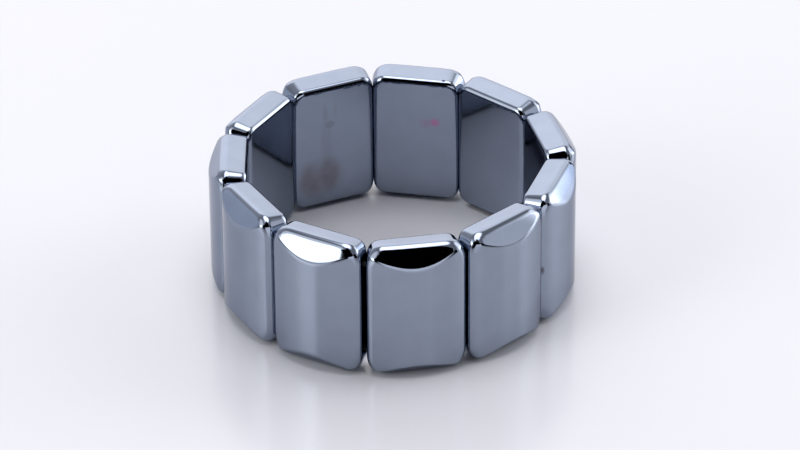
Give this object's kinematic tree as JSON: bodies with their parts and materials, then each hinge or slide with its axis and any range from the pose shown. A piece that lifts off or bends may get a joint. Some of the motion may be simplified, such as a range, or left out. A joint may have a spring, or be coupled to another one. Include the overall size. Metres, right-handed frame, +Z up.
{
  "type": "beaded stretch bracelet",
  "caption": "Stretch bracelet of flat-backed, domed rectangular stone beads strung edge to edge on two elastic cords, for wearing round the wrist.",
  "frame": {"origin": "middle of the bracelet's base, on the surface it lies on", "axes": "+Z up along the axis of the wrist opening; -Y faces the viewer of the picture; +Y along the slightly longer way across the loop"},
  "size_m": [0.068, 0.071, 0.0259],
  "materials": {
    "hematite": "polished hematite, a dark grey stone that reflects like metal",
    "elastic_cord": "black elastic cord"
  },
  "bodies": {
    "root": {"bead_01": "hematite", "bead_02": "hematite", "bead_03": "hematite", "bead_04": "hematite", "bead_05": "hematite", "bead_06": "hematite", "bead_07": "hematite", "bead_08": "hematite", "bead_09": "hematite", "bead_10": "hematite", "bead_11": "hematite", "elastic_cord_lower": "elastic_cord", "elastic_cord_upper": "elastic_cord"}
  },
  "joints": []
}
